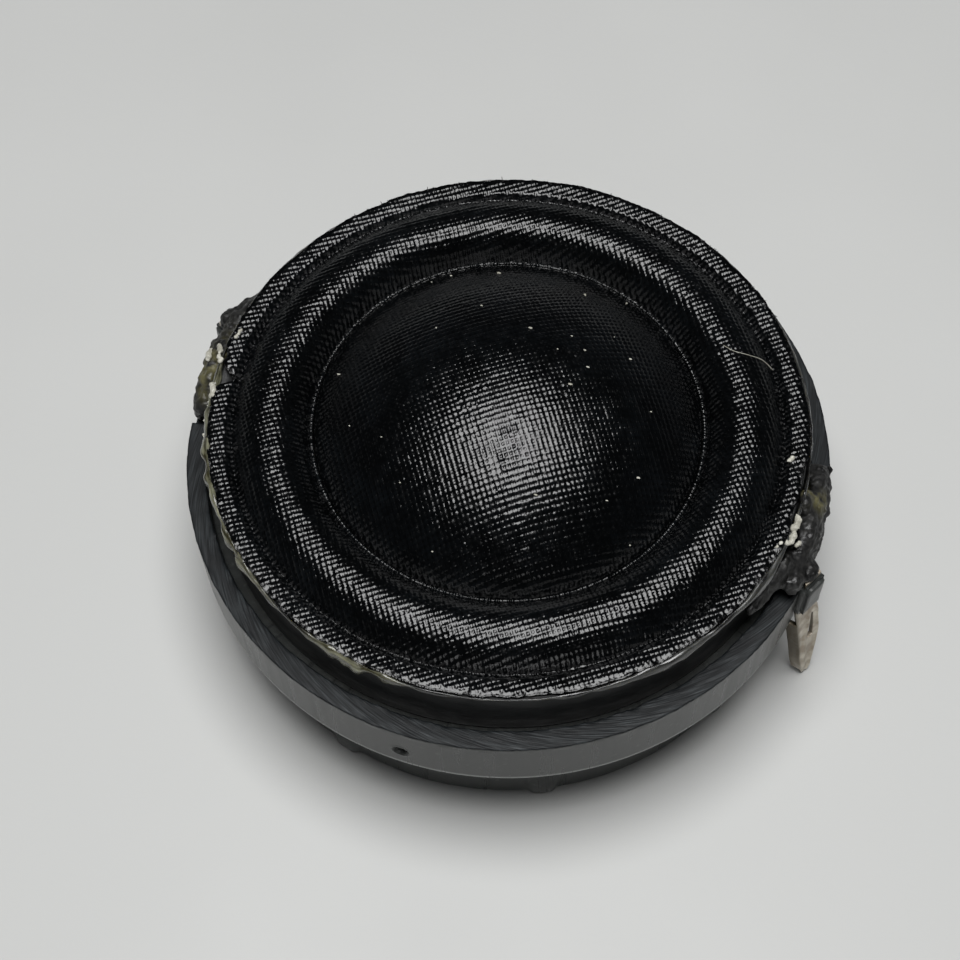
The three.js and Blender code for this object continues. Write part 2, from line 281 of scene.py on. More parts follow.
def lumps(name, balls, voxel, material, shaping, smoothing=0, **attributes):
    """One closed lumpy mass: ellipsoids (centre, radii) merged by a voxel remesh, smoothed, then
    roughened. shaping is a list of (noise size, depth)."""
    bm = bmesh.new()
    for centre, radii in balls:
        shape = Matrix.Translation(Vector(centre)) @ Matrix.Diagonal((*radii, 1))
        bmesh.ops.create_icosphere(bm, subdivisions=3, radius=1, matrix=shape)
    rough = bpy.data.meshes.new(name + "_balls")
    bm.to_mesh(rough)
    bm.free()
    holder = bpy.data.objects.new(name + "_balls", rough)
    bpy.context.scene.collection.objects.link(holder)
    remesh = holder.modifiers.new("merge", "REMESH")
    remesh.mode = "VOXEL"
    remesh.voxel_size = voxel
    if smoothing:
        smooth = holder.modifiers.new("melt", "SMOOTH")
        smooth.factor = 0.5
        smooth.iterations = smoothing
    merged = holder.evaluated_get(bpy.context.evaluated_depsgraph_get()).to_mesh()
    points = np.array([v.co for v in merged.vertices], float)
    normals = np.array([v.normal for v in merged.vertices], float)
    faces = [list(p.vertices) for p in merged.polygons]
    for seed, (size, depth) in enumerate(shaping):
        points += normals * (wobble(points, size, seed + 1) * depth)[:, None]
    marks = {key: mark(points) for key, mark in attributes.items()}
    bpy.data.objects.remove(holder)
    return build(name, points, faces, material, **marks)


# ---- materials ----------------------------------------------------------------------------------
class Look:
    """A procedural material. Texture sizes are in millimetres of the piece."""

    def __init__(self, name, colour, roughness, **plain):
        self.material = bpy.data.materials.new(name)
        self.material.use_nodes = True
        self.tree = self.material.node_tree
        self.shader = self.tree.nodes["Principled BSDF"]
        self.shader.inputs["Base Color"].default_value = (*colour, 1)
        self.shader.inputs["Roughness"].default_value = roughness
        for key, value in plain.items():
            self.shader.inputs[key.replace("_", " ")].default_value = value
        self.place = self.add("ShaderNodeTexCoord").outputs["Object"]

    def add(self, kind, inputs=None, **settings):
        node = self.tree.nodes.new(kind)
        for key, value in settings.items():
            setattr(node, key, value)
        for key, value in (inputs or {}).items():
            if isinstance(value, bpy.types.NodeSocket):
                self.tree.links.new(value, node.inputs[key])
            else:
                node.inputs[key].default_value = value
        return node

    def stretched(self, stretch):
        """Coordinates for noise with features of that many millimetres, alike or along each axis."""
        scale = [1000 / size for size in np.broadcast_to(stretch, 3).tolist()]
        return self.add("ShaderNodeMapping", {"Vector": self.place, "Scale": scale}).outputs["Vector"]

    def polar(self, stretch):
        """Coordinates of arc length at a 20 mm radius, radius and height, for marks round the axis."""
        parts = self.add("ShaderNodeSeparateXYZ", {0: self.place}).outputs
        angle = self.math("ARCTAN2", parts["Y"], parts["X"])
        inputs = {0: self.place, 1: (1, 1, 0)}
        flat = self.add("ShaderNodeVectorMath", inputs, operation="MULTIPLY").outputs[0]
        radius = self.add("ShaderNodeVectorMath", {0: flat}, operation="LENGTH").outputs["Value"]
        arc, reach, height = (
            self.math("MULTIPLY", value, factor)
            for value, factor in (
                (angle, 20 / stretch[0]),
                (radius, 1000 / stretch[1]),
                (parts["Z"], 1000 / stretch[2]),
            )
        )
        return self.add("ShaderNodeCombineXYZ", {"X": arc, "Y": reach, "Z": height}).outputs[0]

    def slanting(self, stretch):
        """Coordinates along and across the saw marks, which run round the axis in a slant."""
        inputs = {"Vector": self.polar((1.0, 1.0, 1.0)), "Rotation": (0, 0, CUT_SLANT), "Scale": stretch}
        return self.add("ShaderNodeMapping", inputs, vector_type="TEXTURE").outputs["Vector"]

    def math(self, operation, a, b=0.0):
        return self.add("ShaderNodeMath", {0: a, 1: b}, operation=operation).outputs[0]

    def noise(self, stretch, detail=3.0, at=None):
        inputs = {"Vector": at or self.stretched(stretch), "Scale": 1.0, "Detail": detail}
        return self.add("ShaderNodeTexNoise", inputs).outputs["Fac"]

    def mark(self, name):
        """A piece's own attribute."""
        return self.add("ShaderNodeAttribute", attribute_name=name).outputs["Fac"]

    def ramp(self, value, low, high, to_low=0.0, to_high=1.0):
        inputs = {"Value": value, "From Min": low, "From Max": high, "To Min": to_low, "To Max": to_high}
        return self.add("ShaderNodeMapRange", inputs).outputs["Result"]

    def mix(self, share, a, b):
        node = self.add("ShaderNodeMix", data_type="RGBA")
        for socket, value in ((node.inputs[0], share), (node.inputs[6], a), (node.inputs[7], b)):
            if isinstance(value, bpy.types.NodeSocket):
                self.tree.links.new(value, socket)
            elif isinstance(value, tuple):
                socket.default_value = (*value, 1)
            else:
                socket.default_value = value
        return node.outputs[2]

    def set(self, socket, value):
        self.tree.links.new(value, self.shader.inputs[socket])

    def bump(self, *heights):
        """Adds fine relief: pairs of a height from 0 to 1 and its depth in millimetres."""
        normal = None
        for height, depth in heights:
            inputs = {"Height": height, "Distance": depth * MM}
            if normal:
                inputs["Normal"] = normal
            normal = self.add("ShaderNodeBump", inputs).outputs["Normal"]
        self.set("Normal", normal)
        return self.material


def cloth_look():
    look = Look("coated_cloth", (0.01, 0.01, 0.012), 0.3, Specular_IOR_Level=0.40)
    crown = look.ramp(look.mark("crown"), 0.3, 1.0)
    patch = look.noise(3.0)
    # Paler on the thread crowns, in patches, and darker in the valleys between them.
    paler_crowns = look.math("MULTIPLY", crown, look.ramp(patch, 0.4, 0.7))
    look.set("Base Color", look.mix(paler_crowns, (0.0008, 0.001, 0.0012), (0.004, 0.005, 0.006)))
    filled = look.ramp(look.noise(0.35), 0.35, 0.65, 0.10, 0.25)
    look.set("Roughness", filled)
    return look.bump((look.noise(0.11, 3), 0.006), (look.noise(0.5), 0.03))


def moulding_look():
    look = Look("black_moulding", (0.03, 0.03, 0.03), 0.4, Specular_IOR_Level=0.25)
    cut = look.mark("cut")
    chatter = look.noise(None, 4, look.slanting((2.0, 0.085, 1.0)))
    faint = look.noise(None, 4, look.slanting((1.8, 0.5, 1.0)))
    streaks = look.noise(None, 3, look.polar((0.5, 40.0, 9.0)))
    grain = look.noise(0.08, 2)
    dust = look.ramp(look.noise(0.5, 6), 0.62, 0.8)
    wall = look.mix(look.ramp(streaks, 0.3, 0.7), (0.028, 0.030, 0.029), (0.040, 0.043, 0.041))
    wall = look.mix(look.math("MULTIPLY", dust, 0.3), wall, (0.2, 0.21, 0.2))
    # Painted highlight: a pale line along the ring's lower outer edge.
    wall = look.mix(look.mark("edge"), wall, (0.26, 0.27, 0.26))
    scrape = look.math("MULTIPLY", look.ramp(chatter, 0.40, 0.68), look.ramp(faint, 0.38, 0.66, 0.15, 1.0))
    face = look.mix(scrape, (0.002, 0.003, 0.004), (0.030, 0.036, 0.039))
    look.set("Base Color", look.mix(cut, wall, face))
    wall_roughness = look.ramp(streaks, 0.3, 0.7, 0.26, 0.34)
    face_roughness = look.ramp(chatter, 0.3, 0.7, 0.68, 0.42)
    soft = look.math("MULTIPLY", face_roughness, cut)
    hard = look.math("MULTIPLY", wall_roughness, look.math("SUBTRACT", 1.0, cut))
    look.set("Roughness", look.math("ADD", soft, hard))
    scored = look.math("MULTIPLY", chatter, cut)
    return look.bump((grain, 0.003), (scored, 0.03))


def collar_look():
    look = Look("collar_moulding", (0.012, 0.013, 0.014), 0.25, Specular_IOR_Level=0.55)
    flow = look.noise(None, 3, look.polar((3.0, 8.0, 1.2)))
    smear = look.ramp(look.noise(None, 5, look.polar((1.6, 3.0, 0.7))), 0.5, 0.75)
    look.set("Base Color", look.mix(smear, (0.003, 0.0035, 0.004), (0.016, 0.017, 0.017)))
    look.set("Roughness", look.ramp(flow, 0.3, 0.7, 0.28, 0.45))
    return look.bump((flow, 0.05), (look.noise(0.15), 0.006))


def glue_look():
    look = Look("amber_adhesive", (0.3, 0.27, 0.14), 0.2, Coat_Weight=0.5, Coat_Roughness=0.12)
    look.shader.inputs["Subsurface Weight"].default_value = 0.25
    look.shader.inputs["Subsurface Radius"].default_value = (0.0006, 0.0005, 0.0003)
    look.shader.inputs["Subsurface Scale"].default_value = 1.0
    cloudy = look.noise(None, 5, look.polar((1.8, 0.3, 0.3)))
    amber = look.mix(look.ramp(cloudy, 0.40, 0.75), (0.030, 0.028, 0.013), (0.26, 0.26, 0.18))
    clear = look.mix(look.ramp(cloudy, 0.4, 0.75), (0.008, 0.008, 0.008), (0.07, 0.072, 0.066))
    look.set("Base Color", look.mix(look.mark("amber"), clear, amber))
    look.set("Roughness", look.ramp(cloudy, 0.3, 0.7, 0.16, 0.45))
    return look.bump((cloudy, 0.05), (look.noise(0.1), 0.01))


def black_glue_look():
    look = Look("black_glue", (0.01, 0.01, 0.009), 0.2, Coat_Weight=0.08, Coat_Roughness=0.3)
    grain = look.noise(0.35, 5)
    tint = look.ramp(look.noise(0.9, 3), 0.40, 0.62)
    olive = look.math("MULTIPLY", tint, look.mark("amber"))
    base = look.mix(look.ramp(grain, 0.45, 0.75), (0.001, 0.001, 0.001), (0.016, 0.0155, 0.014))
    look.set("Base Color", look.mix(olive, base, (0.12, 0.11, 0.05)))
    look.set("Roughness", look.ramp(look.noise(0.7), 0.35, 0.65, 0.36, 0.75))
    return look.bump((grain, 0.06), (look.noise(0.12, 4), 0.015))


def metal_look(name, dark, light, roughness, grain, coordinates="plain", metallic=1.0):
    """Bare or plated metal with brushed or turned marks, tarnish and small scratches."""
    look = Look(name, light, roughness, Metallic=metallic)
    at = look.polar(grain) if coordinates == "polar" else None
    marks = look.noise(grain, 4, at)
    tarnish = look.ramp(look.noise(1.1, 4), 0.35, 0.7)
    look.set("Base Color", look.mix(tarnish, dark, light))
    look.set("Roughness", look.ramp(marks, 0.3, 0.7, roughness * 0.7, roughness * 1.4))
    return look.bump((marks, 0.012), (tarnish, 0.004))


def lug_look():
    """Dull tinned brass, with painted shade: darker brown in the crease and on the folded flange."""
    look = Look("tinned_lug", (0.5, 0.45, 0.38), 0.4, Metallic=0.6)
    drawn = look.noise((0.4, 0.4, 3.0), 4)
    blotch = look.ramp(look.noise(0.9, 3), 0.38, 0.66)
    metal = look.mix(blotch, (0.32, 0.27, 0.21), (0.58, 0.54, 0.46))
    # Painted shade: darker brown in the crease and on the folded flange.
    look.set("Base Color", look.mix(look.mark("tarnished"), metal, (0.09, 0.073, 0.045)))
    look.set("Roughness", look.ramp(drawn, 0.3, 0.7, 0.3, 0.52))
    return look.bump((drawn, 0.015), (blotch, 0.01))


def polyimide_look():
    look = Look("polyimide", (0.5, 0.27, 0.05), 0.25, Coat_Weight=0.4, Coat_Roughness=0.1)
    ply = look.noise((0.3, 0.3, 3.0), 3)
    look.set("Base Color", look.mix(ply, (0.36, 0.17, 0.03), (0.62, 0.35, 0.08)))
    look.set("Roughness", look.ramp(ply, 0.3, 0.7, 0.18, 0.34))
    return look.bump((ply, 0.006))


def felt_look():
    look = Look("felt", (0.05, 0.05, 0.052), 0.95, Sheen_Weight=0.4, Sheen_Roughness=0.5)
    hairs = look.noise((0.08, 0.4, 0.2), 6)
    look.set("Base Color", look.mix(hairs, (0.025, 0.025, 0.027), (0.11, 0.11, 0.115)))
    look.set("Roughness", look.ramp(hairs, 0.3, 0.7, 0.85, 1.0))
    return look.bump((hairs, 0.06))


def floor_look():
    look = Look("pale_floor", (0.7, 0.7, 0.69), 0.6)
    mottle = look.noise(30.0, 3)
    look.set("Base Color", look.mix(mottle, (0.52, 0.525, 0.515), (0.56, 0.565, 0.555)))
    look.set("Roughness", look.ramp(mottle, 0.3, 0.7, 0.5, 0.65))
    return look.bump((look.noise(0.8, 2), 0.01))


CLOTH_LOOK = cloth_look()
MOULDING = moulding_look()
COLLAR = collar_look()
CREAM = metal_look("pale_residue", (0.30, 0.29, 0.24), (0.62, 0.61, 0.54), 0.4, (0.3, 0.3, 0.3), metallic=0.0)
GLUE = glue_look()
BLACK_GLUE = black_glue_look()
COPPER = metal_look("copper_wire", (0.32, 0.12, 0.05), (0.66, 0.30, 0.15), 0.28, (0.1, 0.1, 0.1))
STEEL = metal_look("plated_steel", (0.34, 0.34, 0.33), (0.60, 0.61, 0.62), 0.3, (9.0, 0.12, 0.4), "polar")
NICKEL = metal_look("nickel_magnet", (0.50, 0.49, 0.46), (0.74, 0.74, 0.74), 0.18, (0.3, 0.3, 0.3))
TINNED = lug_look()
SOLDER = metal_look("solder", (0.42, 0.42, 0.43), (0.80, 0.81, 0.82), 0.22, (0.25, 0.25, 0.25))
POLYIMIDE = polyimide_look()
FELT = felt_look()


# ---- woven cloth --------------------------------------------------------------------------------
def weave_height(u, v):
    """Plain weave at thread counts u and v: the height of whichever thread is on top, 0 to 1."""
    warp_side = 1 - 2 * (np.floor(u) % 2)
    weft_side = 1 - 2 * (np.floor(v) % 2)
    warp = np.abs(np.sin(math.pi * u)) + CRIMP * warp_side * np.sin(math.pi * v)
    weft = np.abs(np.sin(math.pi * v)) - CRIMP * weft_side * np.sin(math.pi * u)
    return np.maximum(warp, weft) / (1 + CRIMP)


class Weave:
    """A square grid of cloth vertices seen from above, between an inner and an outer edge.
    Vertices past an edge are drawn in to it, so that the cells there end on it."""

    def __init__(self, inner, outer_edge, height, reach, depth):
        count = math.ceil(reach / min(WARP_PITCH, WEFT_PITCH)) * SAMPLES
        u, v = np.meshgrid(*(np.arange(-count, count + 1) / SAMPLES,) * 2, indexing="ij")
        sway = 0.06 * np.sin(0.21 * u + 1.3) * np.sin(0.17 * v)
        across, along = (u + sway) * WARP_PITCH, (v - sway) * WEFT_PITCH
        x = across * math.cos(WEAVE_TURN) - along * math.sin(WEAVE_TURN)
        y = across * math.sin(WEAVE_TURN) + along * math.cos(WEAVE_TURN)
        angle, r = np.arctan2(y, x), np.hypot(x, y)
        edge = outer_edge(angle)
        inside = (r > inner) & (r < edge)
        r = np.clip(r, inner, edge)
        self.r = r
        self.cells = inside[:-1, :-1] | inside[1:, :-1] | inside[1:, 1:] | inside[:-1, 1:]
        x, y = r * np.cos(angle), r * np.sin(angle)
        tiny = 0.02
        slope = (height(r + tiny, angle) - height(r - tiny, angle)) / (2 * tiny)
        length = np.hypot(1, slope)
        normal = np.stack([-slope * np.cos(angle), -slope * np.sin(angle), 1 + 0 * slope], axis=-1)
        normal /= length[..., None]
        from_edge = np.minimum(r - inner, edge - r)
        crossings = rng.uniform(*THREAD_SPREAD, (2 * count + 2, 2 * count + 2))
        row, column = (np.round(thread).astype(int) + count for thread in (u, v))
        self.crown = weave_height(u, v) * step_up(0.0, EDGE_FADE, from_edge) * crossings[row, column]
        base = np.stack([x, y, height(r, angle)], axis=-1)
        self.upper = base + normal * (self.crown * depth)[..., None]
        self.lower = base - normal * CLOTH
        self.under_normal = -normal
        shaded = np.cross(np.gradient(self.upper, axis=0), np.gradient(self.upper, axis=1))
        size = np.linalg.norm(shaded, axis=-1)[..., None]
        self.upper_normal = np.where(size > 1e-9, shaded / np.maximum(size, 1e-9), normal)

    def piece(self, name, cells):
        """A closed shell of some of the cells, with the weave on its upper face."""
        points, faces, used = closed_shell(self.upper, self.lower, cells, coarse_faces(cells))
        crown = np.concatenate([self.crown.ravel()[used], np.zeros(len(used))])
        shell = build(name, points, faces, CLOTH_LOOK, crown=crown)
        normals = [side.reshape(-1, 3)[used] for side in (self.upper_normal, self.under_normal)]
        shell.data.normals_split_custom_set_from_vertices(np.concatenate(normals).tolist())
        edit(shell, drop_loose)
        return shell


def grid_quads(cells):
    """The corners of each chosen cell, as places in the grid of points around the cells."""
    width = cells.shape[1] + 1
    rows, columns = np.nonzero(cells)
    corners = [(rows, columns), (rows + 1, columns), (rows + 1, columns + 1), (rows, columns + 1)]
    return np.stack([i * width + j for i, j in corners], axis=1)


def coarse_faces(cells):
    """The same cells with each full block of them as one many-sided face, and the rest as quads."""
    block = UNDER_BLOCK
    width = cells.shape[1] + 1
    rows, columns = (n // block for n in cells.shape)
    tiles = cells[: rows * block, : columns * block].reshape(rows, block, columns, block)
    full = tiles.all(axis=(1, 3))
    step = np.arange(block)
    ring = np.concatenate([step * width, block * width + step, (block - step) * width + block, block - step])
    big = [(row * width + column) * block + ring for row, column in np.argwhere(full)]
    rest = cells.copy()
    rest[: rows * block, : columns * block] &= ~np.kron(full, np.ones((block, block), bool))
    return big + list(grid_quads(rest))


def closed_shell(front, back, cells, under):
    """Points and faces of a plate with a front and a back grid, made of some of the grid's cells,
    and the places of its points in the grid. under holds the faces of the back."""
    used, compact = np.unique(grid_quads(cells), return_inverse=True)
    quads = compact.reshape(-1, 4)
    walls = outline_edges(quads)
    count = len(used)
    side = np.stack([walls[:, 1], walls[:, 0], walls[:, 0] + count, walls[:, 1] + count], axis=1)
    place = np.zeros(front[..., 0].size, int)
    place[used] = np.arange(count) + count
    back_faces = [place[face][::-1].tolist() for face in under]
    points = np.concatenate([front.reshape(-1, 3)[used], back.reshape(-1, 3)[used]])
    return points, quads.tolist() + side.tolist() + back_faces, used


def outline_edges(quads):
    """The edges that only one of the quads has, in that quad's own direction."""
    edges = np.concatenate([quads[:, [i, (i + 1) % 4]] for i in range(4)])
    key = np.sort(edges, axis=1)
    _, first, uses = np.unique(key, axis=0, return_index=True, return_counts=True)
    return edges[first[uses == 1]]


def dome_height(r, angle):
    rise = APEX_Z - SEAM_Z
    radius = (SEAM_R**2 + rise**2) / (2 * rise)
    return APEX_Z - radius + np.sqrt(np.maximum(radius**2 - r**2, 1.0))


def roll_height(r, angle):
    """The half roll, its soft feet and the raised rim."""
    inward = (CREST_R - r) / (CREST_R - ROLL_FEET[0])
    outward = (r - CREST_R) / (ROLL_FEET[1] - CREST_R)
    rise = CREST_Z - SEAM_Z
    inner = rise * (1 - np.clip(inward, 0, 1.3) ** ROLL_ROUNDNESS)
    outer = OUTER_FOOT_RISE + (rise - OUTER_FOOT_RISE) * (1 - np.clip(outward, 0, 1.3) ** ROLL_ROUNDNESS)
    roll = np.where(r < CREST_R, inner, outer)
    rim = RIM_RISE - RIM_SLOPE * (FLANGE_R - r)
    lip = OUTER_FOOT_RISE + (rim - OUTER_FOOT_RISE) * step_up(ROLL_FEET[1] - 0.15, RIM_START, r)
    flat = np.where(r < CREST_R, 0.0, lip)
    flutter = np.interp(angle, EDGE_ANGLES, EDGE_FLUTTER) * step_up(18.8, FLANGE_R, r)
    return SEAM_Z + FOOT_SOFTNESS * np.logaddexp(roll / FOOT_SOFTNESS, flat / FOOT_SOFTNESS) + flutter


EDGE_ANGLES = np.linspace(-math.pi, math.pi, 3001)
EDGE_POINTS = on_circle(FLANGE_R, EDGE_ANGLES)
EDGE_FLUTTER = 0.10 * wobble(EDGE_POINTS, 2.2, 1) + 0.05 * wobble(EDGE_POINTS, 0.7, 2)
# Bites out of the rim beside the lead joints: angle and half width in degrees, and depth.
BITES = ((3.0, 3.0, 0.35), (-5.0, 3.0, 0.3), (182.0, 1.5, 0.3), (186.5, 2.0, 1.3))
EDGE_RADIUS = (
    FLANGE_R - 0.05 + 0.11 * wobble(EDGE_POINTS, 1.3, 3) + 0.06 * wobble(EDGE_POINTS, 0.35, 4)
    - sum(depth * bell(EDGE_ANGLES, at, half) for at, half, depth in BITES)
)


def edge_radius(angle):
    return np.interp(angle, EDGE_ANGLES, EDGE_RADIUS)


dome_weave = Weave(-1.0, lambda angle: SEAM_R + 0 * angle, dome_height, SEAM_R + 1, DOME_WEAVE_DEPTH)
dome_cloth = dome_weave.piece("dome_cloth", dome_weave.cells)
dress(dome_cloth, "coated_cloth", "dome_assembly", ["dome"])

roll_weave = Weave(SEAM_R + 0.02, edge_radius, roll_height, FLANGE_R + 1, ROLL_WEAVE_DEPTH)
nearer = roll_weave.r[:-1, :-1] < CREST_R
inner_roll = roll_weave.piece("surround_inner_half", roll_weave.cells & nearer)
outer_roll = roll_weave.piece("surround_outer_half", roll_weave.cells & ~nearer)


def level(z):
    return (0, 0, z * MM)


# Two levels for each half, at the housing's side and at the dome's side, with the crest half way between
# them.
INNER_BEND = (level(2 * CREST_Z - SEAM_Z), level(SEAM_Z))
OUTER_BEND = (level(SEAM_Z + RIM_RISE), level(2 * CREST_Z - SEAM_Z - RIM_RISE))
for half, bend in ((inner_roll, INNER_BEND), (outer_roll, OUTER_BEND)):
    dress(half, "coated_cloth")
    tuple(bend[0])
    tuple(bend[1])
    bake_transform(half)
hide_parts("surround")

# ---- housing ------------------------------------------------------------------------------------
NOTCH_START, NOTCH_END = math.radians(-14), math.radians(11)
NOTCH_TEAR = 0.006  # width of its torn sides, in radians
NOTCH_FLOOR = 10.9


def in_notch(angle):
    """1 inside the cut at each lead joint and 0 outside it, with torn sides."""
    share = 0
    for side in SIDES.values():
        turned = angle_from(angle, side)
        after_start = step_up(NOTCH_START, NOTCH_START + NOTCH_TEAR, turned)
        share = share + after_start * step_up(-NOTCH_END, NOTCH_TEAR - NOTCH_END, -turned)
    return share


RING_ANGLES = np.linspace(0, TAU, 3601)
RING_POINTS = on_circle(RING_R, RING_ANGLES)
RING_TEAR = 0.07 * wobble(RING_POINTS, 0.9, 5) + 0.05 * wobble(RING_POINTS, 0.3, 6)
RING_BURR = np.maximum(0, wobble(RING_POINTS, 1.6, 7) - 0.15) * 0.30
PIT_ANGLE = math.radians(-92)
PIT_Z = RING_TOP - 2.9
PIT_R = 0.55
PIT_DEPTH = 0.7


def cut_ring(r, z, angle):
    """The rough cut front face of the housing: chatter marks, torn edges, burrs, notches and a pit."""
    tear = np.interp(angle, RING_ANGLES, RING_TEAR)
    burr = np.interp(angle, RING_ANGLES, RING_BURR)
    arc = angle * RING_R
    across = r * math.cos(CUT_SLANT) - arc * math.sin(CUT_SLANT)
    points = np.stack([across.ravel(), 0.15 * arc.ravel(), 0 * across.ravel()], axis=1)
    near_top = step_up(RING_TOP - 0.5, RING_TOP - 0.1, z)
    chatter = np.zeros(r.shape)
    chatter[near_top > 0] = wobble(points[(near_top > 0).ravel()], 0.26, 8)
    outer_edge = near_top * step_up(RING_R - 0.35, RING_R - 0.05, r)
    inner_edge = near_top * step_up(RING_INNER_R + 0.3, RING_INNER_R, r)
    lower = in_notch(angle) * step_up(NOTCH_FLOOR, NOTCH_FLOOR + 0.05, z) * step_up(19.7, 19.9, r)
    z = z + near_top * 0.015 * chatter + outer_edge * burr * 0.6 + inner_edge * tear
    r = r + outer_edge * (burr * 0.25 + tear * 0.5) - inner_edge * tear * 0.7
    pit_distance = np.hypot(angle_from(angle, PIT_ANGLE) * RING_R, z - PIT_Z)
    rim = 0.05 * step_up(PIT_R + 0.2, PIT_R, pit_distance) * step_up(PIT_R - 0.1, PIT_R, pit_distance)
    r = r + (rim - PIT_DEPTH * step_up(PIT_R, PIT_R * 0.6, pit_distance)) * (r > RING_R - 0.5)
    floor = NOTCH_FLOOR + 0.12 * chatter + 0.08 * tear
    return r, z * (1 - lower) + np.minimum(z, floor) * lower


def is_cut(r, z, angle):
    """1 on the rough cut face and in the notches, 0 on the moulded wall."""
    return np.maximum(step_up(RING_TOP - 0.16, RING_TOP - 0.02, z), 0.8 * in_notch(angle) * (z > NOTCH_FLOOR))


ring_profile = fillet(
    [
        (SLEEVE_R, WEB_Z[0]),
        (RING_INNER_R - 0.1, WEB_Z[0]),
        (RING_INNER_R - 0.1, RING_BOTTOM),
        (RING_R, RING_BOTTOM),
        (RING_R, RING_TOP),
        (RING_INNER_R, RING_TOP),
        (RING_INNER_R, WEB_Z[1]),
        (SLEEVE_R, WEB_Z[1]),
    ],
    0.12,
)


def painted_edge_highlight(r, z, angle):
    """Painted highlight: a pale line along the ring's lower outer edge."""
    return step_up(RING_BOTTOM + 0.40, RING_BOTTOM + 0.15, z) * step_up(RING_R - 0.2, RING_R - 0.05, r)


def ring_step(r, z):
    """Fine on the outer wall and the cut face, where the surface is rough."""
    return 0.15 if r > RING_INNER_R + 0.05 else 0.6


front_ring = swept("front_ring", refined(ring_profile, ring_step), 1080, MOULDING, cut_ring,
                   cut=is_cut, edge=painted_edge_highlight)
dress(front_ring, "black_moulding", "housing", ["front_housing"])

NUBS = 9
NUB_PHASE = math.radians(-67)
NUB_REACH = 0.4
NUB_HALF = 1.2


def with_nubs(r, z, angle):
    """Small feet round the bottom of the rear housing, and slight moulding waves on its wall."""
    turned = angle_from(angle * NUBS, NUB_PHASE * NUBS) / NUBS * REAR_R
    across = step_up(NUB_HALF, NUB_HALF * 0.45, np.abs(turned))
    upward = step_up(0.2, 0.7, z) * step_up(2.6, 1.4, z)
    outside = step_up(REAR_R - 0.7, REAR_R - 0.4, r)
    wave = 0.012 * np.sin(angle * 23) * np.sin(angle * 7 + z * 0.4)
    return r + outside * (NUB_REACH * across * upward + wave), z


rear_profile = fillet(
    [
        (WINDOW_R, 0.0),
        (REAR_R, 0.0),
        (REAR_R, REAR_TOP),
        (REAR_R - REAR_WALL, REAR_TOP),
        (REAR_R - REAR_WALL, REAR_FLOOR),
        (WINDOW_R, REAR_FLOOR),
    ],
    0.35,
)
rear_shell = swept("rear_shell", refined(rear_profile, every(0.28)), 720, MOULDING, with_nubs,
                   cut=lambda r, z, angle: 0 * r)
dress(rear_shell, "black_moulding", "housing", ["rear_housing"])


def lead_slots(r, z, angle):
    """Dips in the collar's top for the two leads, and a slight wave where the glue pulled it."""
    dip = sum(step_up(0.028, 0.020, np.abs(angle_from(angle, side))) for side in SIDES.values())
    high = step_up(14.0, 14.6, z)
    return r, z - 1.2 * dip * high + 0.03 * np.sin(angle * 9) * high


collar_profile = fillet(
    [
        (SLEEVE_R, COLLAR_BOTTOM),
        (COLLAR_R, COLLAR_BOTTOM),
        (COLLAR_R, COLLAR_TOP - 0.05),
        (COLLAR_R - 0.6, COLLAR_TOP - 0.15),
        (COLLAR_R - 1.5, SEAM_Z - 0.25),
        (COLLAR_R - 1.5, COLLAR_LEDGE),
        (SLEEVE_R, COLLAR_LEDGE),
    ],
    0.2,
)
collar = swept("collar_body", refined(collar_profile, every(0.3)), 720, COLLAR, lead_slots)
dress(collar, "collar_moulding", "housing", ["diaphragm_collar"])

# ---- glue ---------------------------------------------------------------------------------------
GLUE_R = FLANGE_R + 0.10
GLUE_Z = SEAM_Z + 0.42


def amber_share(angle):
    """How much of the rim's glue is thick and yellow at an angle. Elsewhere it is thin and clear."""
    spots = ((203, 9), (214, 7), (228, 8), (254, 6), (262, 4), (188, 5))
    return np.clip(sum(bell(angle, at, half) for at, half in spots), 0, 1)


def glue_bead(r, z, angle):
    """Glue that was smeared along the rim: long thin runs, thicker where it is yellow."""
    ring = on_circle(GLUE_R, angle[0])
    coarse = wobble(ring, 3.0, 9)
    fine = wobble(ring, 0.9, 10)
    amber = amber_share(angle[0])
    smear = np.clip(bell(angle[0], -20, 9) + bell(angle[0], -44, 10), 0, 1)
    thick = amber * (0.95 + 0.9 * fine + 0.5 * coarse)
    size = np.clip(0.28 + 0.3 * coarse + 0.25 * fine + thick + 0.8 * smear, 0.12, 2.0)
    points = np.stack([0.3 * GLUE_R * angle, 1.6 * r, 1.6 * z], axis=-1).reshape(-1, 3)
    surface = 1 + 0.38 * wobble(points, 0.42, 11).reshape(r.shape)
    droop = 0.25 * (size - 0.5)
    r = GLUE_R - 0.15 * amber + (r - GLUE_R) * size * surface
    return r, GLUE_Z + (z - GLUE_Z) * size * surface - droop


turns = np.arange(16) * TAU / 16
bead_profile = np.stack([GLUE_R + 0.26 * np.cos(turns), GLUE_Z + 0.42 * np.sin(turns)], axis=1)
rim_glue = swept("rim_glue", bead_profile, 1440, GLUE, glue_bead,
                 amber=lambda r, z, angle: amber_share(angle))
dress(rim_glue, "amber_adhesive", "housing", ["rim_adhesive"])


SEAM_BEAD_R = SEAM_R + 0.12
SEAM_BEAD_Z = SEAM_Z + 0.03


def seam_bead(r, z, angle):
    """A thin line of coating along the seam, which swells and shrinks into dots."""
    points = on_circle(SEAM_R, angle[0])
    size = 0.75 + 0.30 * wobble(points, 0.6, 12) + 0.8 * np.maximum(wobble(points, 0.17, 13), -0.3)
    return SEAM_BEAD_R + (r - SEAM_BEAD_R) * size, SEAM_BEAD_Z + (z - SEAM_BEAD_Z) * size


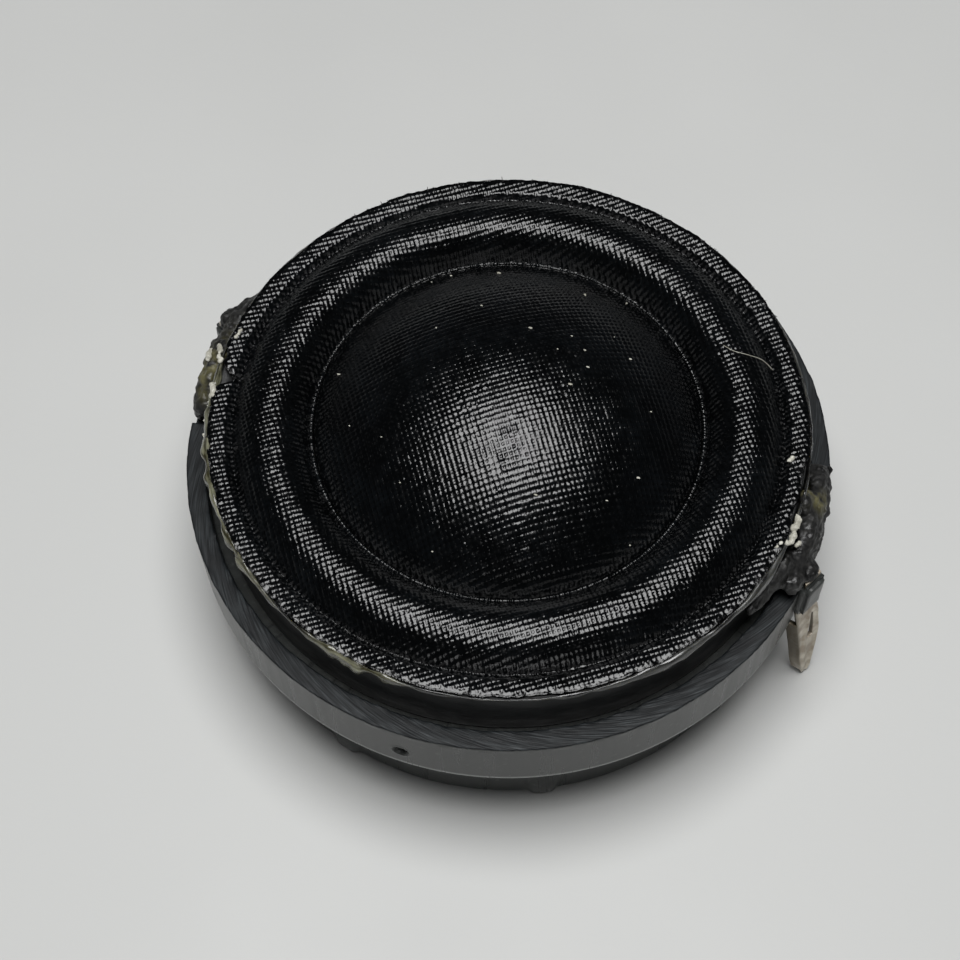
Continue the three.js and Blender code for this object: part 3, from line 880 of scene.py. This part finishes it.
bead_turns = turns[::2]
seam_r = SEAM_BEAD_R + 0.13 * np.cos(bead_turns)
seam_z = SEAM_BEAD_Z + 0.12 * np.sin(bead_turns)
seam_profile = np.stack([seam_r, seam_z], axis=1)
seam = swept("seam_bead", seam_profile, 1800, CLOTH_LOOK, seam_bead, crown=lambda r, z, angle: 1 + 0 * r)
dress(seam, "coated_cloth", "dome_assembly")

bond_profile = fillet([(SEAM_R - 0.35, 14.5), (SEAM_R + 0.17, 14.5), (SEAM_R - 0.02, 14.8)], 0.05)
bond = swept("coil_bond_fillet", bond_profile, 360, GLUE, amber=lambda r, z, angle: 1 + 0 * r)
dress(bond, "amber_adhesive", "dome_assembly", ["coil_bond_ring"])


def in_lug_frame(points, side):
    """Turns points from the lug's frame, X out through its face and Y across it, to the part's."""
    turned = np.asarray(points, float) @ turn_matrix(LUG_TURN) + np.array([LUG_R, 0, 0])
    return turned @ turn_matrix(side + LUG_ANGLE)


def turn_matrix(angle):
    """Turns rows of points about Z."""
    c, s = math.cos(angle), math.sin(angle)
    return np.array([[c, s, 0], [-s, c, 0], [0, 0, 1]])


def beside(side, degrees, radius, z):
    """A point at an angle from one lead joint."""
    return on_circle(radius, side + math.radians(degrees), z)


def blob_balls(side):
    """A thick smear of glue that hugs the rim over the lead joint, with a few crumbs on it."""
    balls = []
    for turn in np.arange(-11.5, 9, 1.6):
        crest = 1.0 - 0.004 * (turn + 2) ** 2
        balls.append((beside(side, turn, 20.3, 13.1), (0.95, 1.1, 2.0 * crest + rng.uniform(-0.2, 0.2))))
        balls.append((beside(side, turn, 20.8 + rng.uniform(-0.1, 0.1), 12.3), (0.65, 0.8, 0.9)))
    balls.append((in_lug_frame([[-0.75, 0.0, 13.1]], side)[0], (0.7, 0.95, 0.7)))
    balls += [(beside(side, turn, 20.7, 13.3), (0.75, 0.8, 0.85)) for turn in (-14, -12.4, -10.8)]
    for turn in np.arange(-23, -11, 1.5):  # it thins out along the collar on one side
        share = (turn + 23) / 12
        reach = (0.3 + 0.45 * share, 0.9, 0.5 + 1.0 * share)
        balls.append((beside(side, turn, 19.65 + 0.3 * share, 14.1 - 0.4 * share), reach))
    balls.append((on_circle(19.8, side - 0.01, 14.9), (0.5, 1.0, 0.75)))
    for _ in range(14):
        turn = rng.uniform(-13, 10)
        size = rng.uniform(0.2, 0.45)
        place = beside(side, turn, rng.uniform(20.3, 21.2), rng.uniform(11.6, 14.0))
        balls.append((place, (size, size * 1.3, size)))
    return balls


def olive_near(side, turn, reach):
    """A share that is 1 on the top of the glue at an angle and fades round it."""
    def share(points):
        angle = np.arctan2(points[:, 1], points[:, 0])
        return bell(angle, math.degrees(side) + turn, reach) * step_up(13.2, 14.4, points[:, 2])
    return share


OLIVE = {"right": (1.0, 2.0), "left": (3.0, 6.0)}  # where the glue is yellow, and how far, in degrees
for side_name, side in SIDES.items():
    blob = lumps("glue_crust_" + side_name, blob_balls(side), 0.11, BLACK_GLUE,
                 ((1.6, 0.18), (0.7, 0.16), (0.26, 0.10)), 12, amber=olive_near(side, *OLIVE[side_name]))
    dress(blob, "black_glue", "housing", ["glue_blob_" + side_name])

# Pale dried residue on the rim beside each joint. Each run is a line of points (angle, radius,
# height) and a thickness.
RESIDUE = {
    "right": (
        (((-5.5, 19.55, 16.05), (-7.5, 19.75, 15.95), (-8.3, 19.6, 15.95)), 0.24),
        (((-9.0, 19.75, 15.85), (-10.4, 19.85, 15.7), (-11.2, 19.6, 15.75)), 0.20),
        (((-12.2, 19.3, 16.05), (-13.6, 19.2, 16.05)), 0.13),
        (((-9.2, 20.25, 15.2), (-10.0, 20.2, 15.15)), 0.16),
        (((5.6, 18.2, 16.1), (6.5, 18.45, 16.1)), 0.17),
    ),
    "left": (
        (((9.0, 19.5, 16.0), (11.2, 19.3, 15.95)), 0.25),
        (((3.4, 19.6, 15.95), (1.2, 19.75, 15.9), (-0.6, 20.1, 15.5)), 0.20),
        (((-2.6, 19.1, 16.1), (-4.6, 19.05, 16.1)), 0.14),
        (((1.4, 20.7, 14.9), (-0.4, 20.8, 14.8)), 0.26),
        (((12.0, 19.7, 15.6), (18.0, 19.75, 15.5), (23.0, 19.7, 15.6)), 0.13),
    ),
}


def residue_balls(side, runs):
    """Small overlapping crumbs along each run."""
    balls = []
    for points, thickness in runs:
        for place in smooth_route([beside(side, *point) for point in points], 16):
            size = thickness * rng.uniform(0.4, 1.0)
            balls.append((place + rng.normal(0, 0.2, 3) * thickness, (size, size, size * 0.8)))
    return balls


for side_name, side in SIDES.items():
    residue = lumps("pale_residue_" + side_name, residue_balls(side, RESIDUE[side_name]), 0.045, CREAM,
                    ((0.35, 0.08), (0.12, 0.03)), 3)
    dress(residue, "amber_adhesive", "housing")

# ---- terminals ----------------------------------------------------------------------------------
LUG_THICKNESS = 0.3
LUG_DEPTH = -0.25  # middle of the stem, from the lug's own origin
LUG_LEAN = 0.15
BOSS_LOW = 9.0
BOSS_HIGH = 12.5
BOSS_HALF = 1.0
# The blade's left and right edges at each height, across the lug.
BLADE_Z = (0.2, 0.6, 4.2, 7.4, 8.95, 9.1, STEM_TOP)
BLADE_LEFT = (0.12, 0.0, -0.3, -0.7, -0.9, -0.7, -0.7)
BLADE_RIGHT = (0.5, 0.78, 1.45, 1.28, 0.9, 0.7, 0.7)
SLOT_Z = (4.2, 7.2)  # bottom and top of the slot, and its sides there
SLOT_LEFT = (0.18, 0.55)
SLOT_RIGHT = (0.92, 0.86)
FLANGE_FOLD = math.radians(195)
FLANGE_WIDTH = 0.75
FLANGE_BOTTOM = 0.6
FLANGE_TOP = 7.1
RIDGE_HEIGHT = 0.14


def lug_blade(name, side):
    """A stamped lug: stem, tapering blade with a slot and pressed ridges, and a folded flange."""
    even_lines = np.linspace(BLADE_Z[0], STEM_TOP, 56)
    z_lines = np.unique(np.concatenate([even_lines, SLOT_Z, [FLANGE_TOP, BOSS_LOW]]))
    flange_columns, blade_columns = 5, 15
    slot_columns = (6, 10)
    z, column = np.meshgrid(z_lines, np.arange(flange_columns + blade_columns), indexing="ij")
    left, right = np.interp(z, BLADE_Z, BLADE_LEFT), np.interp(z, BLADE_Z, BLADE_RIGHT)
    strips = [0, *slot_columns, blade_columns - 1]  # left of the slot, the slot, and right of it
    share = np.interp(column - flange_columns, strips, [0, 1, 2, 3])
    slot_left = np.clip(np.interp(z, SLOT_Z, SLOT_LEFT), left + 0.08, right - 0.2)
    slot_right = np.clip(np.interp(z, SLOT_Z, SLOT_RIGHT), slot_left + 0.06, right - 0.08)
    across = np.select([share < 1, share < 2], [left + (slot_left - left) * share,
                                                slot_left + (slot_right - slot_left) * (share - 1)],
                       slot_right + (right - slot_right) * (share - 2))
    lean = LUG_DEPTH + np.maximum(0, BOSS_LOW - z) * LUG_LEAN
    below = step_up(BOSS_LOW, BOSS_LOW - 1.5, z)
    ridge = RIDGE_HEIGHT * np.exp(-(((across - slot_left + 0.12) / 0.13) ** 2)) * below
    rolled = 0.20 * np.clip((across - right + 0.35) / 0.35, 0, 1) ** 2 * below
    depth = lean + ridge + rolled
    folded = np.clip((flange_columns - column) / flange_columns, 0, 1) * FLANGE_WIDTH
    across = np.where(column < flange_columns, left, across) + folded * math.sin(FLANGE_FOLD)
    depth = depth + folded * math.cos(FLANGE_FOLD)
    middle = np.stack([depth, across, z], axis=-1)
    middle += wobble(middle.reshape(-1, 3), 1.2, 14).reshape(z.shape)[..., None] * [0.05, 0, 0]
    normal = np.cross(np.gradient(middle, axis=1), np.gradient(middle, axis=0))
    normal /= np.linalg.norm(normal, axis=-1)[..., None]
    cell_z = (z[:-1, :-1] + z[1:, :-1]) / 2
    cell_column = column[:-1, :-1]
    flange = cell_column < flange_columns
    slot = ((cell_z > SLOT_Z[0]) & (cell_z < SLOT_Z[1]) & (cell_column >= flange_columns + slot_columns[0])
            & (cell_column < flange_columns + slot_columns[1]))
    cells = ~slot & (~flange | ((cell_z < FLANGE_TOP) & (cell_z > FLANGE_BOTTOM)))
    half = LUG_THICKNESS / 2
    front, back = middle - normal * half, middle + normal * half
    points, faces, used = closed_shell(front, back, cells, grid_quads(cells))
    crease = np.exp(-(((column - flange_columns) / 0.6) ** 2))
    # The share below is painted shade, not tarnish: darker in the crease and on the folded flange, none on
    # the pressed ridge.
    tarnish = np.clip(0.92 * (column < flange_columns) + crease - ridge / RIDGE_HEIGHT, 0, 1)
    shade = np.tile(tarnish.ravel()[used], 2)
    blade = build(name, in_lug_frame(points, side), faces, TINNED, tarnished=shade)
    bevel = blade.modifiers.new("rolled edges", "BEVEL")
    bevel.width = 0.05 * MM
    bevel.segments = 2
    bevel.limit_method = "ANGLE"
    bevel.angle_limit = math.radians(50)
    return blade


def boss(name, side):
    """The moulded post that the lug's stem stands in, with soft edges and a little draft."""
    bm = bmesh.new()
    bmesh.ops.create_cube(bm, size=1.0)
    inner, outer = -1.6, 0.3
    for vert in bm.verts:
        draft = 0.08 * (vert.co.z > 0)
        vert.co = Vector((
            (inner + outer) / 2 + vert.co.x * (outer - inner - draft),
            vert.co.y * 2 * (BOSS_HALF - draft),
            (BOSS_LOW + BOSS_HIGH) / 2 + vert.co.z * (BOSS_HIGH - BOSS_LOW),
        ))
    bmesh.ops.bevel(bm, geom=list(bm.edges), offset=0.22, segments=4, affect="EDGES")
    bmesh.ops.subdivide_edges(bm, edges=list(bm.edges), cuts=3, use_grid_fill=True)
    points = np.array([v.co for v in bm.verts])
    bm.verts.index_update()
    faces = [[v.index for v in face.verts] for face in bm.faces]
    bm.free()
    points[:, 0] += 0.06 * wobble(points, 1.1, 15) + 0.02 * wobble(points, 0.3, 16)
    return build(name, in_lug_frame(points, side), faces, MOULDING, cut=np.zeros(len(points)))


# The leads from the coil, bowed under the roll, to the lugs: radius, degrees from the joint and height.
LEAD_ROUTE = (
    (13.35, 0, 12.8), (13.35, 0, 13.6), (13.9, 0, 14.5), (15.2, 0, 16.0), (16.6, 0, 15.4),
    (17.6, 0, 14.6), (18.8, 0, 14.5), (19.9, -1, 14.3), (20.3, -5, 13.4), (20.9, -8.3, 13.1),
)
for side_name, side in SIDES.items():
    lug = lug_blade("lug_blade_" + side_name, side)
    dress(lug, "tinned_lug", "housing", ["solder_lug_" + side_name])
    dress(boss("lug_boss_" + side_name, side), "black_moulding", "housing")
    joint = in_lug_frame([[-0.7, 0.1, 13.0]], side)[0]
    balls = [(joint, (0.42, 0.6, 0.45)), (joint + [0.1, 0.2, -0.2], (0.5, 0.4, 0.3))]
    drop = lumps("solder_drop_" + side_name, balls, 0.06, SOLDER, ((0.5, 0.06),))
    dress(drop, "solder", "housing", ["solder_joint_" + side_name])
    route = [beside(side, turn, r, z) for r, turn, z in LEAD_ROUTE]
    wire = build("lead_wire_" + side_name, *tube(smooth_route(route, 120), 0.15, 10), COPPER)
    dress(wire, "copper_wire", stands_for=["coil_lead_" + side_name])
    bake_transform(wire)

# ---- coil and motor -----------------------------------------------------------------------------
coil_low, coil_high = bottom("voice_coil_winding").z, top("voice_coil_winding").z
former_low, former_high = bottom("voice_coil_former").z, top("voice_coil_former").z
former_r = top("voice_coil_former").y
former_profile = fillet([(SEAM_R, former_low), (former_r, former_low), (former_r, former_high),
                         (SEAM_R, former_high)], 0.03)
former = swept("former_tube", refined(former_profile, every(0.5)), 360, POLYIMIDE)
dress(former, "polyimide", "dome_assembly", ["voice_coil_former"])

WIRE_TURNS = 14
wire_r = (coil_high - coil_low) / WIRE_TURNS / 2
winding_r = top("voice_coil_winding").y - wire_r
crowns = [
    (winding_r + wire_r * math.sin(a), coil_low + wire_r * (2 * turn + 1 - math.cos(a)))
    for turn in range(WIRE_TURNS)
    for a in np.linspace(0.1, math.pi - 0.1, 6)
]
winding_profile = np.array([(former_r + 0.06, coil_low), *crowns, (former_r + 0.06, coil_high)])
winding = swept("wire_turns", winding_profile, 240, COPPER)
dress(winding, "copper_wire", "dome_assembly", ["voice_coil_winding"])

CUP_R = 16.9
CUP_BORE_R = 13.5
CUP_FOOT_R = 12.0  # of the round step that fills the housing's window
CUP_BASE = 0.4
CUP_LOW = 1.3
CUP_HIGH = 12.4
CUP_FLOOR = 4.7
cup_profile = fillet(
    [(0, CUP_BASE), (CUP_FOOT_R, CUP_BASE), (CUP_FOOT_R, CUP_LOW), (CUP_R, CUP_LOW), (CUP_R, CUP_HIGH),
     (CUP_BORE_R, CUP_HIGH), (CUP_BORE_R, CUP_FLOOR), (0, CUP_FLOOR)],
    0.3,
)
cup = swept("yoke_steel", cup_profile, 360, STEEL)
dress(cup, "plated_steel", "housing", ["yoke_cup"])

for node, piece_name, material, slot, edge in (
    ("magnet", "magnet_disc", NICKEL, "nickel_magnet", 0.3),
    ("pole_plate", "pole_disc", STEEL, "plated_steel", 0.15),
    ("damping_pad", "felt_pad", FELT, "felt", 0.35),
):
    low, high = bottom(node), top(node)
    profile = fillet([(0, low.z), (high.x, low.z), (high.x, high.z), (0, high.z)], edge, 4)
    dress(swept(piece_name, profile, 240, material), slot, "housing", [node])

# ---- loose threads, dust and a stray fibre ------------------------------------------------------
THREAD_ENDS = 170
DUST_SPECKS = 26


def frayed_threads(count):
    """Cut thread ends that stand out of the rim along the weave's own directions."""
    parts = []
    for _ in range(count):
        angle = rng.uniform(-math.pi, math.pi)
        quarter = round((angle - WEAVE_TURN) / (math.pi / 2)) * math.pi / 2 + WEAVE_TURN
        way = quarter + rng.normal(0, 0.25)
        root = on_circle(edge_radius(angle) - 0.15, angle, roll_height(FLANGE_R - 0.2, angle))
        length = rng.uniform(0.08, 0.34)
        t = np.linspace(0, 1, 7)
        reach = length * t
        curl = rng.normal(0, 0.25) * t**2 * length
        route = root + np.stack([reach * math.cos(way) - curl * math.sin(way),
                                 reach * math.sin(way) + curl * math.cos(way),
                                 rng.normal(0, 0.25) * length * t**2], axis=1)
        parts.append(tube(route, 0.045 * (1 - 0.6 * t), 6))
    return joined(parts)


fray_points, fray_faces = frayed_threads(THREAD_ENDS)
fray = build("frayed_threads", fray_points, fray_faces, CLOTH_LOOK, crown=np.ones(len(fray_points)))
dress(fray, "coated_cloth", "housing")


def dust_specks(count):
    """Small crumbs of lint on the dome."""
    balls = []
    for _ in range(count):
        radius = SEAM_R * math.sqrt(rng.uniform(0.05, 0.95))
        angle = rng.uniform(-math.pi, math.pi)
        z = dome_height(radius, angle) + DOME_WEAVE_DEPTH
        size = rng.uniform(0.035, 0.08)
        balls.append((on_circle(radius, angle, z), (size * rng.uniform(1, 2.2), size, size * 0.7)))
    return balls


dust = lumps("dust_specks", dust_specks(DUST_SPECKS), 0.02, CREAM, ((0.1, 0.02),))
dress(dust, "amber_adhesive", "dome_assembly")

# The fibre's route over the roll: radius and degrees.
FIBRE_PLAN = ((17.9, 28.5), (17.2, 30.0), (16.3, 30.8), (15.4, 32.5), (14.9, 35.0))
fibre_line = []
for radius, degrees in FIBRE_PLAN:
    angle = math.radians(degrees)
    fibre_line.append(on_circle(radius, angle, roll_height(radius, angle) + ROLL_WEAVE_DEPTH + 0.03))
fibre_route = smooth_route(fibre_line, 40)
fibre = build("stray_fibre", *tube(fibre_route, 0.022, 6), CREAM)
dress(fibre, "coated_cloth")
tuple(OUTER_BEND[0])
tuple(OUTER_BEND[1])
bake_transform(fibre)

# ---- floor, light and camera --------------------------------------------------------------------
FLOOR_HALF = 600
floor_corners = [(x * FLOOR_HALF, y * FLOOR_HALF, 0) for x, y in ((-1, -1), (1, -1), (1, 1), (-1, 1))]
floor = build("floor", floor_corners, [[0, 1, 2, 3]], floor_look())


def area_light(name, place, aim, size, energy):
    light = bpy.data.lights.new(name, "AREA")
    light.shape = "DISK"
    light.size = size
    light.energy = energy
    holder = bpy.data.objects.new(name, light)
    bpy.context.scene.collection.objects.link(holder)
    holder.location = place
    holder.rotation_euler = (Vector(aim) - Vector(place)).to_track_quat("-Z", "Y").to_euler()


area_light("overhead_soft_light", (0.0, 0.0, 0.34), (0, 0, 0), 0.22, 1.34)
area_light("front_fill", (0.20, -0.55, 0.10), (0, 0, 0.008), 0.30, 0.45)

HORIZON = 0.15  # strength of the surroundings at eye level
OVERHEAD = 0.02  # and above the object, where the one soft light is
world = bpy.data.worlds.new("studio")
bpy.context.scene.world = world
world.use_nodes = True
sky = world.node_tree
background = sky.nodes["Background"]
background.inputs["Color"].default_value = (0.93, 0.97, 1.0, 1)
direction = sky.nodes.new("ShaderNodeTexCoord").outputs["Generated"]
split = sky.nodes.new("ShaderNodeSeparateXYZ")
sky.links.new(direction, split.inputs[0])
fall = sky.nodes.new("ShaderNodeMapRange")
fall.interpolation_type = "SMOOTHSTEP"
for socket, value in (("From Min", 0.0), ("From Max", 0.3), ("To Min", HORIZON), ("To Max", OVERHEAD)):
    fall.inputs[socket].default_value = value
sky.links.new(split.outputs["Z"], fall.inputs["Value"])
sky.links.new(fall.outputs["Result"], background.inputs["Strength"])

CAMERA_AZIMUTH = math.radians(18)
CAMERA_ELEVATION = math.radians(60.6)
CAMERA_ROLL = math.radians(-1.5)
SEAM_IN_VIEW = Vector((1.80, 3.68, -117.4)) * MM  # the seam's centre: right, up and back of the lens
LENS = 67.5


def make_camera():
    side = Vector((math.cos(CAMERA_AZIMUTH), math.sin(CAMERA_AZIMUTH), 0))
    back = Vector((
        math.sin(CAMERA_AZIMUTH) * math.cos(CAMERA_ELEVATION),
        -math.cos(CAMERA_AZIMUTH) * math.cos(CAMERA_ELEVATION),
        math.sin(CAMERA_ELEVATION),
    ))
    upward = back.cross(side)
    right = side * math.cos(CAMERA_ROLL) + upward * math.sin(CAMERA_ROLL)
    turned_up = upward * math.cos(CAMERA_ROLL) - side * math.sin(CAMERA_ROLL)
    axes = Matrix((right, turned_up, back)).transposed()
    camera_data = bpy.data.cameras.new("camera")
    camera_data.lens = LENS
    camera_data.sensor_width = 36
    camera_data.clip_start = 0.005
    camera_data.clip_end = 10
    camera = bpy.data.objects.new("camera", camera_data)
    bpy.context.scene.collection.objects.link(camera)
    seam_centre = Vector((0, 0, SEAM_Z * MM))
    camera.matrix_world = Matrix.Translation(seam_centre - axes @ SEAM_IN_VIEW) @ axes.to_4x4()
    bpy.context.scene.camera = camera


make_camera()
bpy.context.scene.view_settings.view_transform = "Standard"
